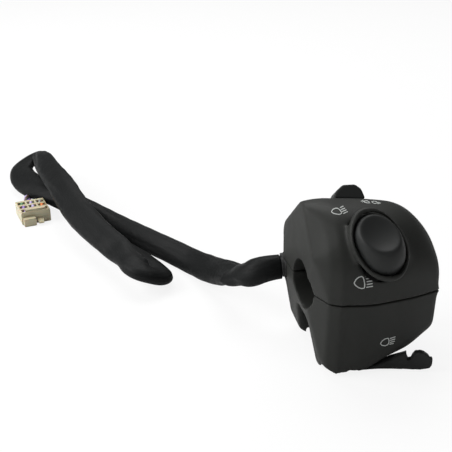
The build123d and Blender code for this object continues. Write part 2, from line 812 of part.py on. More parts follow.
# Passing trigger: a curved paddle under the front edge, its hub and the switch's tongue
paddle_run = [(-6.5, -19.6), (2.0, -20.4), (12.0, -23.0), (20.0, -26.3), (25.0, -28.2)]
paddle_top = [
    (25.2, -30.5), (25.0, -28.0), (23.4, -26.2), (20.8, -25.2), (18.9, -25.1), (17.4, -25.9),
    (16.2, -27.2), (14.6, -28.9),
]
edge_rooms = [(13.0, 1.0), (9.0, 1.0), (4.0, 1.3), (0.0, 1.7), (-4.0, 1.8), (-8.0, 1.8), (-13.0, 1.8)]
under_edge = [(x, max(foot_at(x) - room, seam - hub_low)) for x, room in edge_rooms]
paddle_foot = [(-13.0, -hub_low), (11.5, -34.8), (19.9, -34.3), (23.6, -33.2)]
with BuildPart() as paddle_side:
    with BuildSketch(Plane.XZ):
        with BuildLine():
            Polyline(*paddle_foot, *paddle_top, *under_edge, close=True)
        make_face()
    extrude(amount=foot_z)

with BuildPart() as pass_trigger:
    with BuildSketch(Plane.XY.offset(-foot_z)):
        with BuildLine():
            FilletPolyline(*paddle_run, radius=bend_radii(paddle_run))
        trace(line_width=arm_t)
        with BuildLine():
            Polyline(
                (pivot_x - hub_d / 2, pivot_y - over),
                (pivot_x - over * 2, pivot_y - web_w),
                (pivot_x - over * 2, pivot_y - web_w - over * 2),
                (pivot_x + web_w * 2, pivot_y - web_w - over * 4),
                (tongue_x + tongue_w, tongue_y - tongue_t),
                (tongue_x + tongue_w / 2, tongue_y + tongue_t / 2),
                (tongue_x - tongue_w, tongue_y + tongue_t),
                close=True,
            )
        make_face()
    extrude(amount=foot_z / 2)
    add(paddle_side.part, mode=Mode.INTERSECT)
    with BuildSketch(Plane.XY.offset(-hub_low)):
        with Locations((pivot_x, pivot_y)):
            Circle(hub_d / 2)
    extrude(amount=hub_t)
    with BuildSketch(Plane.XY.offset(-hub_low)):
        with Locations((tongue_x, tongue_y)):
            Rectangle(tongue_w, tongue_t)
    extrude(amount=hub_low - tongue_top)
    with BuildSketch(Plane.XY.offset(-foot_z)):
        with Locations((pivot_x, pivot_y)):
            Circle(pivot_d / 2 + slip)
    extrude(amount=foot_z, mode=Mode.SUBTRACT)
    with BuildSketch(Plane.XY.offset(-foot_z)):
        with Locations((pivot_x, pivot_y)):
            Circle(pivot_head_d / 2 + gap / 2)
    extrude(amount=foot_z - hub_low + pivot_head_h, mode=Mode.SUBTRACT)
pass_trigger.part.label = "pass_trigger"
export_step(pass_trigger.part, "parts/pass_trigger.step")

with BuildPart() as trigger_pivot_screw:
    with BuildSketch(Plane.XY.offset(-hub_low)):
        with Locations((pivot_x, pivot_y)):
            Circle(pivot_head_d / 2)
    extrude(amount=pivot_head_h)
    with BuildSketch(Plane.XY.offset(-hub_low)):
        with Locations((pivot_x, pivot_y)):
            Circle(pivot_d / 2)
    extrude(amount=hub_low + hub_top)
    with BuildSketch(Plane.XY.offset(-hub_low)):
        with Locations((pivot_x, pivot_y)):
            Circle(pivot_thread_d / 2 - slip)
    extrude(amount=hub_low - switch_foot)
    with BuildSketch(Plane.XY.offset(-hub_low)):
        with Locations((pivot_x, pivot_y)):
            Rectangle(pivot_d, over)
    extrude(amount=pivot_head_h / 2, mode=Mode.SUBTRACT)
trigger_pivot_screw.part.label = "trigger_pivot_screw"
export_step(trigger_pivot_screw.part, "parts/trigger_pivot_screw.step")

# Torsion spring round the screw boss, with a leg behind the tongue
leg_turn = 88
leg_r = trigger_wire / 2
coil_plane = Plane((pivot_x, pivot_y, coil_low), x_dir=(1, 0, 0), z_dir=(0, 0, 1))
leg_at = Vector(
    pivot_x + trigger_coil_r * cos(radians(leg_turn)),
    pivot_y + trigger_coil_r * sin(radians(leg_turn)),
    coil_low,
)
leg_way = Vector(sin(radians(leg_turn)), -cos(radians(leg_turn)), 0)
coil = helix_spring(coil_plane.rotated((0, 0, leg_turn)), trigger_coil_r, coil_h, 3, trigger_wire)
with BuildPart() as trigger_spring:
    add(coil)
    with BuildSketch(Plane(leg_at - leg_way * leg_r, z_dir=leg_way)):
        Circle(leg_r)
    extrude(amount=tongue_arm + over)
trigger_spring.part.label = "trigger_spring"
export_step(trigger_spring.part, "parts/trigger_spring.step")

# Passing switch behind the tongue
push_plane = Plane((switch_pin_x, switch_y - switch_w / 2, -switch_pin_z), x_dir=(1, 0, 0), z_dir=(0, 1, 0))
with BuildPart() as pass_switch_body:
    with BuildSketch(Plane.XY.offset(-switch_foot)):
        with Locations((switch_x, switch_y)):
            RectangleRounded(switch_l, switch_w, over)
    extrude(amount=switch_h)
    with BuildSketch(push_plane):
        Circle(switch_pin_d / 2 + slip)
    extrude(amount=switch_bore, mode=Mode.SUBTRACT)
pass_switch_body.part.label = "pass_switch_body"
export_step(pass_switch_body.part, "parts/pass_switch_body.step")

pin_out = switch_y - switch_w / 2 - tongue_y - tongue_t / 2 - gap
with BuildPart() as pass_switch_plunger:
    with BuildSketch(push_plane.offset(-pin_out)):
        Circle(switch_pin_d / 2)
    extrude(amount=switch_pin_l)
    fillet(edges().sort_by(Axis.Y)[0], switch_pin_d / 4)
pass_switch_plunger.part.label = "pass_switch_plunger"
export_step(pass_switch_plunger.part, "parts/pass_switch_plunger.step")

pin_in = switch_pin_l - pin_out
pass_switch_spring = helix_spring(
    push_plane.offset(pin_in + slip),
    switch_pin_d / 2 - thin_wire,
    switch_bore - pin_in - slip * 2,
    spring_turns,
    thin_wire,
)
pass_switch_spring.label = "pass_switch_spring"
export_step(pass_switch_spring, "parts/pass_switch_spring.step")

with BuildPart() as pass_switch_terminals:
    with BuildSketch(Plane.XZ.offset(-switch_y - switch_w / 2 - slip)):
        with Locations((switch_x, -switch_pin_z)):
            with GridLocations(terminal_step - over, 0, 3, 1):
                Rectangle(terminal_w, blade_t)
    extrude(amount=-blade_l * 2)
pass_switch_terminals.part.label = "pass_switch_terminals"
export_step(pass_switch_terminals.part, "parts/pass_switch_terminals.step")

# Loom inside the casing, its clamp and the grommet at the way out
with BuildPart() as inner_loom:
    add(tube(loom_way, loom_d / 2))
inner_loom.part.label = "inner_loom"
export_step(inner_loom.part, "parts/inner_loom.step")

loom_end = Vector(*loom_way[-1])
slider_tail = Vector(terminal_x - terminal_step, contact_y, -terminal_foot - gap)
slider_joint = slider_plane.from_local_coords(slider_tail)
rocker_joint = rocker_plane.from_local_coords(Vector(0, blade_w, -tail_n - gap))
switch_back = switch_y + switch_w / 2 + blade_l * 2 + gap
wire_ways = [
    [
        loom_end + Vector(over, -over, over),
        Vector(0.5, 18.0, -2.0),
        Vector(-2.0, 17.5, 12.0),
        slider_joint - slider_n * blade_l * 2,
        slider_joint,
    ],
    [
        loom_end + Vector(over * 1.5, over / 2, 0),
        Vector(3.5, 18.4, 0.0),
        Vector(3.5, 16.0, 12.0),
        Vector(0.0, 7.6, 17.2),
        rocker_joint - rocker_n * blade_l * 2,
        rocker_joint,
    ],
    [
        loom_end + Vector(over, -over, -over),
        Vector(1.0, 16.8, -10.0),
        Vector(switch_x, 13.0, -switch_pin_z + over),
        Vector(switch_x, switch_back + wall * 2, -switch_pin_z),
        Vector(switch_x, switch_back, -switch_pin_z),
    ],
]
with BuildPart() as inner_wires:
    for way in wire_ways:
        add(tube([(at.X, at.Y, at.Z) for at in way], wire_d / 2))
inner_wires.part.label = "inner_wires"
export_step(inner_wires.part, "parts/inner_wires.step")

with BuildPart() as cable_clamp:
    with BuildSketch(Plane.XY.offset(-clamp_z)):
        with Locations((clamp_x, clamp_y)):
            Circle(clamp_w / 2)
        with Locations((clamp_x, clamp_y + clamp_w)):
            Rectangle(clamp_w, clamp_w * 2)
        with Locations((clamp_x, clamp_y)):
            Circle(clamp_screw_d / 2 + slip, mode=Mode.SUBTRACT)
    extrude(amount=-clamp_t)
cable_clamp.part.label = "cable_clamp"
export_step(cable_clamp.part, "parts/cable_clamp.step")

with BuildPart() as clamp_screw:
    with BuildSketch(Plane.XY.offset(-clamp_z)):
        with Locations((clamp_x, clamp_y)):
            Circle(clamp_screw_d * 0.8)
    extrude(amount=clamp_z - seam / 2)
    with BuildSketch(Plane.XY.offset(-clamp_z)):
        with Locations((clamp_x, clamp_y)):
            Circle(clamp_screw_d / 2 - slip)
    extrude(amount=-clamp_screw_l)
clamp_screw.part.label = "clamp_screw"
export_step(clamp_screw.part, "parts/clamp_screw.step")

exit_plane = Plane((-left_end, exit_y, -exit_z), x_dir=(0, 1, 0), z_dir=(-1, 0, 0))
with BuildPart() as exit_grommet:
    with BuildSketch(exit_plane.offset(-grommet_l)):
        Circle(exit_d / 2 - slip)
        with Locations((0, -(exit_z - seam) / 2)):
            Rectangle(exit_d - slip * 2, exit_z - seam)
    extrude(amount=grommet_l)
    with BuildSketch(exit_plane):
        Circle(flange_d / 2)
    extrude(amount=clamp_t)
    with BuildSketch(exit_plane.offset(-grommet_l - over)):
        Circle(loom_d / 2 + slip)
    extrude(amount=grommet_l * 2, mode=Mode.SUBTRACT)
exit_grommet.part.label = "exit_grommet"
export_step(exit_grommet.part, "parts/exit_grommet.step")

# Sleeved harness: out of the grommet, along the floor, round a loop and back over itself,
# then folded under the return run
way_out = -left_end - clamp_t
sleeve_floor = floor_z + sleeve_d / 2
sleeve_run = [
    (way_out, exit_y, -exit_z),
    (-34.5, exit_y, -exit_z),
    (-42.0, 29.5, -8.5),
    (-45.3, 39.0, -13.5),
    (-47.2, 51.0, -19.0),
    (-51.0, 66.5, -25.5),
    (-56.5, 87.0, sleeve_floor),
    (-66.0, 104.0, sleeve_floor),
    (-77.5, 122.0, sleeve_floor),
    (-90.5, 142.5, -30.5),
    (-105.5, 164.0, -27.5),
    (-122.7, 187.0, -25.5),
    (-139.0, 209.5, -25.0),
    (-146.0, 228.0, -25.0),
    (-144.5, 242.0, -23.5),
    (-128.5, 245.0, -20.5),
    (-124.0, 227.0, -18.0),
    (-123.0, 203.0, -16.5),
    (-117.5, 175.5, -17.0),
    (-111.5, 147.0, -20.0),
    (-103.5, 119.0, -22.5),
    (-95.0, 92.0, -22.5),
    (-88.5, 69.3, -22.2),
    (-74.5, 74.1, sleeve_floor),
    (-82.5, 96.0, sleeve_floor),
    (-93.5, 118.0, sleeve_floor),
    (-106.0, 138.0, sleeve_floor),
]
lead_floor = floor_z + lead_d / 2
plug_way = Vector(0.185, -0.983, 0).normalized()
plug_side = Vector(-plug_way.Y, plug_way.X, 0)
plug_rear = Vector(-140.1, 188.3, floor_z)
lead_in = plug_rear + Vector(0, 0, plug_h / 2)
lead_before = lead_in - plug_way * plug_l * 0.6
lead_run = [
    sleeve_run[-1],
    (-111.0, 146.0, sleeve_floor),
    (-116.0, 163.0, lead_floor),
    (-117.5, 183.0, lead_floor),
    (-122.5, 201.0, lead_floor),
    (-131.0, 211.5, lead_floor),
    (-139.5, 209.5, lead_floor),
    (lead_before.X, lead_before.Y, lead_before.Z),
    (lead_in.X, lead_in.Y, lead_in.Z),
]

with BuildPart() as harness_sleeve:
    add(tube(sleeve_run, sleeve_d / 2))
harness_sleeve.part.label = "harness_sleeve"
export_step(harness_sleeve.part, "parts/harness_sleeve.step")

with BuildPart() as lead_wires:
    add(tube(lead_run, lead_d / 2))
lead_wires.part.label = "lead_wires"
export_step(lead_wires.part, "parts/lead_wires.step")


def describe(name, points, d, solid):
    """Print a cord's length, tightest bend and volume beside section times length."""
    radii = bend_radii(points)
    with BuildLine() as path:
        FilletPolyline(*points, radius=radii)
    whole = path.wire().length
    filled = pi * d**2 / 4 * whole
    print(name, "length", round(whole, 1), "radii", [round(r, 1) for r in radii])
    print(name, "volume", round(solid.volume, 1), "section x length", round(filled, 1))


describe("harness_sleeve", sleeve_run, sleeve_d, harness_sleeve.part)
describe("lead_wires", lead_run, lead_d, lead_wires.part)

# Plug at the end of the leads: a nylon block with three rows of cells, a lock and a latch
plug_plane = Plane(plug_rear, x_dir=plug_side, z_dir=plug_way)
top_plane = Plane(plug_rear + Vector(0, 0, plug_h), x_dir=plug_side, z_dir=(0, 0, 1))
cell_pitch = cell + cell_gap
cells_at = plug_rear + plug_way * (cell_pitch * 1.5 + plug_wall) + Vector(0, 0, plug_h)
cells_plane = Plane(cells_at, x_dir=plug_side, z_dir=(0, 0, 1))
with BuildPart() as connector_housing:
    with BuildSketch(plug_plane):
        with Locations((0, plug_h / 2)):
            RectangleRounded(plug_w, plug_h, gap * 2)
    extrude(amount=plug_l)
    with BuildSketch(plug_plane.offset(plug_l)):
        with Locations((-plug_w / 4, plug_h * 0.3)):
            RectangleRounded(plug_w * 0.42, plug_h * 0.6, gap * 2)
    extrude(amount=latch_l * 0.7)
    with BuildSketch(plug_plane.offset(plug_l)):
        with Locations((plug_w * 0.12, plug_h * 0.25)):
            Rectangle(latch_w, plug_h * 0.3)
    extrude(amount=latch_l, taper=8)
    with BuildSketch(cells_plane):
        with GridLocations(cell_pitch, cell_pitch, 3, 3):
            Rectangle(cell, cell - cell_gap)
    extrude(amount=-plug_h / 2, mode=Mode.SUBTRACT)
    with BuildSketch(plug_plane):
        with Locations((0, plug_h / 2)):
            Circle(lead_d / 2 + slip)
    extrude(amount=plug_wall, mode=Mode.SUBTRACT)
connector_housing.part.label = "connector_housing"
export_step(connector_housing.part, "parts/connector_housing.step")

with BuildPart() as connector_terminals:
    with BuildSketch(cells_plane.offset(-plug_h / 2)):
        with GridLocations(cell_pitch, cell_pitch, 3, 3):
            Rectangle(cell - cell_gap, cell - cell_gap * 2)
    extrude(amount=plug_h / 4)
    with BuildSketch(cells_plane.offset(-plug_h / 4)):
        with GridLocations(cell_pitch, cell_pitch, 3, 3):
            Rectangle(cell_gap * 2, cell - cell_gap * 2)
    extrude(amount=plug_h / 8)
connector_terminals.part.label = "connector_terminals"
export_step(connector_terminals.part, "parts/connector_terminals.step")

with BuildPart() as connector_lock:
    with BuildSketch(plug_plane.offset(plug_l - plug_wall * 2)):
        with Locations((0, plug_h + plug_wall / 2)):
            Rectangle(plug_w * 0.7, plug_wall)
    extrude(amount=plug_wall * 1.5)
connector_lock.part.label = "connector_lock"
export_step(connector_lock.part, "parts/connector_lock.step")
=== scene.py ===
from math import cos, exp, pi, sin

import bpy
import numpy as np
from mathutils import Matrix, Vector
from mathutils.bvhtree import BVHTree


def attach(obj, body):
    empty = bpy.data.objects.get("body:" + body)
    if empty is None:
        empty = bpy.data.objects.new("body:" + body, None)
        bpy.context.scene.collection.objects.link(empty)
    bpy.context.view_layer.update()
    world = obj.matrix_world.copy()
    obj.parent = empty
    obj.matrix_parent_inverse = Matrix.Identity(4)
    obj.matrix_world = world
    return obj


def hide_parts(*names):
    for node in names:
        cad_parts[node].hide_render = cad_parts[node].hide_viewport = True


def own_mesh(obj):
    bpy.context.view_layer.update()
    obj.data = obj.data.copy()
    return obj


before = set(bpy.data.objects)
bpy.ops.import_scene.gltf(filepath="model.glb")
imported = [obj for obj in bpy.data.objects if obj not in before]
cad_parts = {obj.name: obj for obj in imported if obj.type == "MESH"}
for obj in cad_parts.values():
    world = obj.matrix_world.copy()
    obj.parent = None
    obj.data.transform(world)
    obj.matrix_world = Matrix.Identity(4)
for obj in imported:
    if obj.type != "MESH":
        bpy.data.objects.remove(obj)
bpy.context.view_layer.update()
MM = 0.001
FLOOR = -35.5 * MM

# The camera stands where the photograph's did, worked out from the bore, seam and edges
CAMERA_AT = Vector((-134.98, -309.03, 179.59)) * MM
AHEAD = Vector((0.2123, 0.8811, -0.4226)).normalized()
RIGHT = Vector((0.9722, -0.2343, 0.0)).normalized()
UP = RIGHT.cross(AHEAD)
FOCAL_PX = 850.0
PHOTO_PX = 452.0
SENSOR_MM = 36.0

# Routes of the two cords in millimetres: the points of the CAD tubes, with some moved
# to fit the photograph, by up to 6.2 mm on the sleeve and 4 mm on the leads
SLEEVE_ROUTE = [
    (-28.2, 26.5, -5.0),
    (-34.5, 26.5, -5.0),
    (-42.0, 29.5, -8.5),
    (-45.3, 39.0, -13.5),
    (-47.2, 51.0, -19.0),
    (-51.0, 66.5, -25.0),
    (-56.5, 87.0, -30.3),
    (-66.0, 104.0, -30.3),
    (-77.5, 122.0, -30.3),
    (-90.5, 142.5, -30.0),
    (-105.5, 164.0, -28.5),
    (-122.7, 187.0, -26.5),
    (-138.0, 209.5, -26.5),
    (-144.0, 227.0, -26.5),
    (-143.0, 240.5, -24.5),
    (-131.0, 244.0, -19.5),
    (-129.5, 229.0, -16.0),
    (-126.5, 204.0, -14.5),
    (-120.5, 175.5, -14.5),
    (-115.0, 147.0, -18.0),
    (-105.5, 119.0, -21.0),
    (-95.0, 92.0, -21.5),
    (-88.5, 69.3, -22.2),
    (-74.5, 74.1, -31.5),
    (-82.5, 96.0, -31.5),
    (-93.5, 118.0, -31.5),
    (-105.5, 138.0, -31.5),
]
LEAD_ROUTE = [
    (-105.5, 138.0, -31.5),
    (-110.0, 146.0, -31.5),
    (-112.0, 163.0, -33.25),
    (-115.5, 183.0, -33.25),
    (-121.0, 201.0, -33.25),
    (-131.0, 211.5, -33.25),
    (-139.5, 209.5, -33.25),
    (-142.1, 198.9, -31.5),
    (-140.1, 188.3, -31.5),
]
# The rocker's own directions and size, in millimetres, as the CAD has them
ROCKER_AT = (-0.9, -21.59, 26.6185)
ROCKER_U = (0.936978, 0.262664, 0.230392)
ROCKER_W = (-0.342573, 0.561038, 0.753578)
ROCKER_HALF = 10.0
ROCKER_R = 14.4

SLEEVE_WIDTH = 13.8 * MM
SLEEVE_THICK = 7.6 * MM
LEAD_D = 4.5 * MM
STRAND_D = 1.5 * MM
LEAD_TURNS = 5.0
STRAND_COLOURS = ["purple", "black", "brown", "lilac", "black", "grey", "black"]

# Plug: the middle of its rear at the floor, and the way it points
PLUG_REAR = Vector((-140.1, 188.3, -35.5)) * MM
PLUG_WAY = Vector((0.184952, -0.982747, 0.0))
PLUG_SIDE = Vector((0.982747, 0.184952, 0.0))
PLUG_TALL = 8.0 * MM
CELL_PITCH = 5.6 * MM
CELLS_FROM_REAR = 9.6 * MM
CELL_WIRE_LONG = 3.1 * MM
CELL_WIRE_R = 0.95 * MM
CELL_WIRE_SUNK = 0.75 * MM
CELL_WIRE_DROP = 1.6 * MM
CELL_WIRE_DRIFT = 0.9 * MM
CELL_WIRE_STEPS = 8


class Wire:
    """A socket of a shader tree that does sums with others and with numbers."""

    def __init__(self, finish, socket):
        self.finish = finish
        self.socket = socket

    def sum_with(self, operation, other):
        return self.finish.node("ShaderNodeMath", {"operation": operation}, {0: self, 1: other})

    def __add__(self, other):
        return self.sum_with("ADD", other)

    def __mul__(self, other):
        return self.sum_with("MULTIPLY", other)


class Finish:
    """One material and its nodes."""

    def __init__(self, name, **constants):
        self.material = bpy.data.materials.new(name)
        self.material.use_nodes = True
        self.nodes = self.material.node_tree.nodes
        self.links = self.material.node_tree.links
        self.shader = self.nodes["Principled BSDF"]
        for socket, value in constants.items():
            self.shader.inputs[socket.replace("_", " ")].default_value = value

    def node(self, kind, settings=None, sockets=None, output=0):
        made = self.nodes.new(kind)
        for key, value in (settings or {}).items():
            setattr(made, key, value)
        for key, value in (sockets or {}).items():
            if isinstance(value, Wire):
                self.links.new(value.socket, made.inputs[key])
            else:
                made.inputs[key].default_value = value
        return Wire(self, made.outputs[output])

    def feed(self, socket, wire):
        self.links.new(wire.socket, self.shader.inputs[socket])

    def place(self, coordinates="Object"):
        return self.node("ShaderNodeTexCoord", output=coordinates)

    def noise(self, place, scale, detail=3.0, roughness=0.5):
        sockets = {"Vector": place, "Scale": scale, "Detail": detail, "Roughness": roughness}
        return self.node("ShaderNodeTexNoise", {}, sockets)

    def between(self, mask, dark, light):
        sockets = {0: mask, 6: (*dark, 1.0), 7: (*light, 1.0)}
        return self.node("ShaderNodeMix", {"data_type": "RGBA"}, sockets, output=2)

    def bump(self, height, strength, deep):
        sockets = {"Strength": strength, "Distance": deep, "Height": height}
        self.feed("Normal", self.node("ShaderNodeBump", {}, sockets))


def moulded(name, dark, light, rough, grain=2600.0, grain_deep=0.00006, sheen=0.35):
    """Moulded plastic: a fine spark grain, faint flow clouds and rubbed patches."""
    finish = Finish(name, Specular_IOR_Level=sheen)
    place = finish.place()
    clouds = finish.noise(place, 38.0, 4.0, 0.55)
    specks = finish.noise(place, grain, 2.0)
    rubbed = finish.noise(place, 110.0, 5.0, 0.65)
    finish.feed("Base Color", finish.between(clouds * 0.7 + specks * 0.3, dark, light))
    finish.feed("Roughness", rubbed * 0.16 + specks * 0.10 + (rough - 0.13))
    finish.bump(specks + rubbed * 0.25, 0.55, grain_deep)
    return finish.material


def plated(name, colour, rough, metallic=1.0):
    """Plated or bare metal with turning marks and dull spots."""
    finish = Finish(name)
    place = finish.place()
    marks = finish.noise(place, 900.0, 3.0)
    spots = finish.noise(place, 150.0, 4.0, 0.7)
    darker = tuple(c * 0.72 for c in colour)
    finish.feed("Base Color", finish.between(spots, darker, colour))
    finish.feed("Roughness", marks * 0.15 + spots * 0.18 + (rough - 0.16))
    finish.shader.inputs["Metallic"].default_value = metallic
    finish.bump(marks, 0.35, 0.00003)
    return finish.material


def sleeving():
    """Soft black PVC tube: dull, with a waxy sheen, fine wrinkles and dusty creases."""
    finish = Finish("sleeve_pvc_skin", Specular_IOR_Level=0.12)
    place = finish.place("UV")
    spread = finish.node(
        "ShaderNodeVectorMath", {"operation": "MULTIPLY"}, {0: place, 1: (530.0, 34.0, 0.0)}
    )
    folds = finish.noise(spread, 0.16, 4.0, 0.6)
    fine = finish.noise(spread, 1.1, 3.0, 0.6)
    dust = finish.noise(finish.place(), 60.0, 4.0, 0.6)
    tone = finish.between(dust * 0.6 + fine * 0.4, (0.0034, 0.0039, 0.0040), (0.0070, 0.0077, 0.0077))
    finish.feed("Base Color", tone)
    finish.feed("Roughness", fine * 0.16 + dust * 0.16 + 0.36)
    finish.bump(folds + fine * 0.22, 0.5, 0.0009)
    return finish.material


def waxy_nylon():
    """Unfilled nylon, ivory and a little milky, stained warmer in patches."""
    finish = Finish("ivory_nylon", Subsurface_Weight=0.15, Subsurface_Scale=0.002, Specular_IOR_Level=0.45)
    place = finish.place()
    stains = finish.noise(place, 130.0, 3.0)
    fine = finish.noise(place, 1500.0, 2.0)
    finish.feed("Base Color", finish.between(stains, (0.36, 0.32, 0.20), (0.56, 0.51, 0.36)))
    finish.feed("Roughness", fine * 0.14 + stains * 0.12 + 0.27)
    finish.bump(fine, 0.3, 0.00004)
    return finish.material


def insulation(name, colour):
    """Coloured wire insulation with a little bloom."""
    finish = Finish(name, Specular_IOR_Level=0.5)
    place = finish.place()
    bloom = finish.noise(place, 420.0, 3.0)
    lighter = tuple(min(1.0, c * 1.35 + 0.02) for c in colour)
    finish.feed("Base Color", finish.between(bloom, colour, lighter))
    finish.feed("Roughness", bloom * 0.2 + 0.28)
    finish.bump(bloom, 0.2, 0.00005)
    return finish.material


def printing():
    """White pad printing, a little uneven and worn."""
    finish = Finish("icon_print", Specular_IOR_Level=0.3)
    place = finish.place()
    wear = finish.noise(place, 1400.0, 3.0)
    finish.feed("Base Color", finish.between(wear, (0.34, 0.36, 0.35), (0.60, 0.62, 0.60)))
    finish.feed("Roughness", wear * 0.25 + 0.40)
    finish.bump(wear, 0.2, 0.00002)
    return finish.material


casing_skin = moulded("casing_skin", (0.0135, 0.0143, 0.0132), (0.0222, 0.0230, 0.0203), 0.56, sheen=0.22)
knob_skin = moulded(
    "knob_skin", (0.0125, 0.0135, 0.0132), (0.0200, 0.0210, 0.0204), 0.50, 3200.0, 0.00004, 0.22
)
inner_skin = moulded("inner_skin", (0.05, 0.05, 0.05), (0.09, 0.09, 0.09), 0.5)
grommet_skin = moulded("grommet_skin", (0.018, 0.018, 0.018), (0.035, 0.035, 0.035), 0.7, 1800.0)
zinc = plated("zinc_plate", (0.60, 0.60, 0.61), 0.36)
brass = plated("spring_brass", (0.72, 0.55, 0.27), 0.32)
tinned = plated("tinned_terminal", (0.16, 0.13, 0.10), 0.40, 0.6)
pvc_skin = sleeving()
nylon = waxy_nylon()
white_print = printing()
WIRE_COLOURS = {
    "purple": (0.20, 0.12, 0.36),
    "lilac": (0.36, 0.30, 0.50),
    "orange": (0.62, 0.16, 0.03),
    "brown": (0.09, 0.04, 0.02),
    "black": (0.015, 0.015, 0.015),
    "green": (0.05, 0.16, 0.06),
    "grey": (0.22, 0.22, 0.23),
}
wires = {name: insulation("wire_" + name, colour) for name, colour in WIRE_COLOURS.items()}

NODE_SKINS = {
    "upper_housing": casing_skin,
    "lower_housing": casing_skin,
    "dimmer_rocker": knob_skin,
    "light_slider": knob_skin,
    "pass_trigger": knob_skin,
    "rocker_base": inner_skin,
    "slider_carriage": inner_skin,
    "slider_base": inner_skin,
    "pass_switch_body": inner_skin,
    "pass_switch_plunger": inner_skin,
    "housing_screws": zinc,
    "screw_washers": zinc,
    "rocker_pin": zinc,
    "rocker_plunger": zinc,
    "rocker_spring": zinc,
    "slider_detent_ball": zinc,
    "slider_detent_spring": zinc,
    "trigger_pivot_screw": zinc,
    "trigger_spring": zinc,
    "pass_switch_spring": zinc,
    "cable_clamp": zinc,
    "clamp_screw": zinc,
    "screw_inserts": brass,
    "rocker_see_saw": brass,
    "rocker_terminals": brass,
    "slider_contact": brass,
    "slider_terminals": brass,
    "pass_switch_terminals": brass,
    "exit_grommet": grommet_skin,
    "inner_loom": pvc_skin,
    "inner_wires": wires["black"],
    "connector_housing": nylon,
    "connector_lock": nylon,
    "connector_terminals": tinned,
}
for node, skin in NODE_SKINS.items():
    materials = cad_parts[node].data.materials
    materials.clear()
    materials.append(skin)


def spline_object(name, route, resolution):
    """A NURBS curve whose control points are the route's points."""
    data = bpy.data.curves.new(name, "CURVE")
    data.dimensions = "3D"
    spline = data.splines.new("NURBS")
    spline.points.add(len(route) - 1)
    for point, at in zip(spline.points, route):
        point.co = (*(Vector(at) * MM), 1.0)
    spline.order_u = 3
    spline.use_endpoint_u = True
    data.resolution_u = resolution
    return bpy.data.objects.new(name, data)


def points_along(name, route, resolution):
    """Points that Blender gives for the route's own curve."""
    curve = spline_object(name, route, resolution)
    bpy.context.scene.collection.objects.link(curve)
    bpy.context.view_layer.update()
    mesh = bpy.data.meshes.new_from_object(curve)
    points = [vertex.co.copy() for vertex in mesh.vertices]
    bpy.data.meshes.remove(mesh)
    bpy.data.objects.remove(curve)
    return points


def mesh_piece(name, points, faces, skins, uvs=None, face_skins=None):
    mesh = bpy.data.meshes.new(name)
    mesh.from_pydata([tuple(p) for p in points], [], faces)
    for skin in skins:
        mesh.materials.append(skin)
    if uvs:
        layer = mesh.uv_layers.new(name="along")
        for loop in mesh.loops:
            layer.data[loop.index].uv = uvs[loop.vertex_index]
    for polygon in mesh.polygons:
        polygon.use_smooth = True
        if face_skins:
            polygon.material_index = face_skins[polygon.index]
    mesh.update()
    piece = bpy.data.objects.new(name, mesh)
    bpy.context.scene.collection.objects.link(piece)
    return piece


def headings(points):
    ways = []
    for index in range(len(points)):
        ahead = points[min(index + 1, len(points) - 1)]
        behind = points[max(index - 1, 0)]
        ways.append((ahead - behind).normalized())
    return ways


def bulge(share, centre, wide):
    return exp(-(((share - centre) / wide) ** 2))


# How the flattened sleeve swells, pinches and leans along its length: a share of the
# length, how far round the bump reaches, then how much it widens and thickens
PINCHES = [
    (0.000, 0.020, -0.16, -0.06),
    (0.040, 0.008, -0.16, 0.06),
    (0.058, 0.009, 0.12, -0.28),
    (0.118, 0.014, 0.04, -0.10),
    (0.235, 0.030, 0.02, -0.06),
    (0.440, 0.030, 0.34, -0.20),
    (0.487, 0.010, 0.10, -0.30),
    (0.522, 0.016, -0.22, 0.06),
    (0.680, 0.080, 0.28, -0.14),
    (0.792, 0.012, 0.04, -0.24),
    (0.815, 0.012, -0.10, -0.16),
    (1.000, 0.050, -0.25, 0.00),
]
# How far the oval is turned about its own line, from flat on the ground, at shares of it
LEANS = [
    (0.000, 1.05),
    (0.035, 0.95),
    (0.060, 0.35),
    (0.085, 0.95),
    (0.200, 0.80),
    (0.420, 0.70),
    (0.470, 0.35),
    (0.500, 0.00),
    (0.530, -0.55),
    (0.600, -0.60),
    (0.760, -0.60),
    (0.795, -0.60),
    (0.850, 0.00),
    (1.000, 0.10),
]
# Creases: where round the tube, how far each wanders, its waves, its width and its depth
CREASES = [
    (0.30, 0.16, 0.9, 0.060, 0.10),
    (1.05, 0.30, 1.7, 0.045, 0.14),
    (2.35, 0.25, 1.3, 0.050, 0.12),
    (3.90, 0.20, 2.1, 0.040, 0.15),
]
ROUND = 56
WIDEST = 1.24
SQUARENESS = 2.5
RIPPLE = 0.012
FLOOR_AIR = 0.03 * MM
LEAN_SHARES = [share for share, lean in LEANS]
LEAN_ANGLES = [lean for share, lean in LEANS]


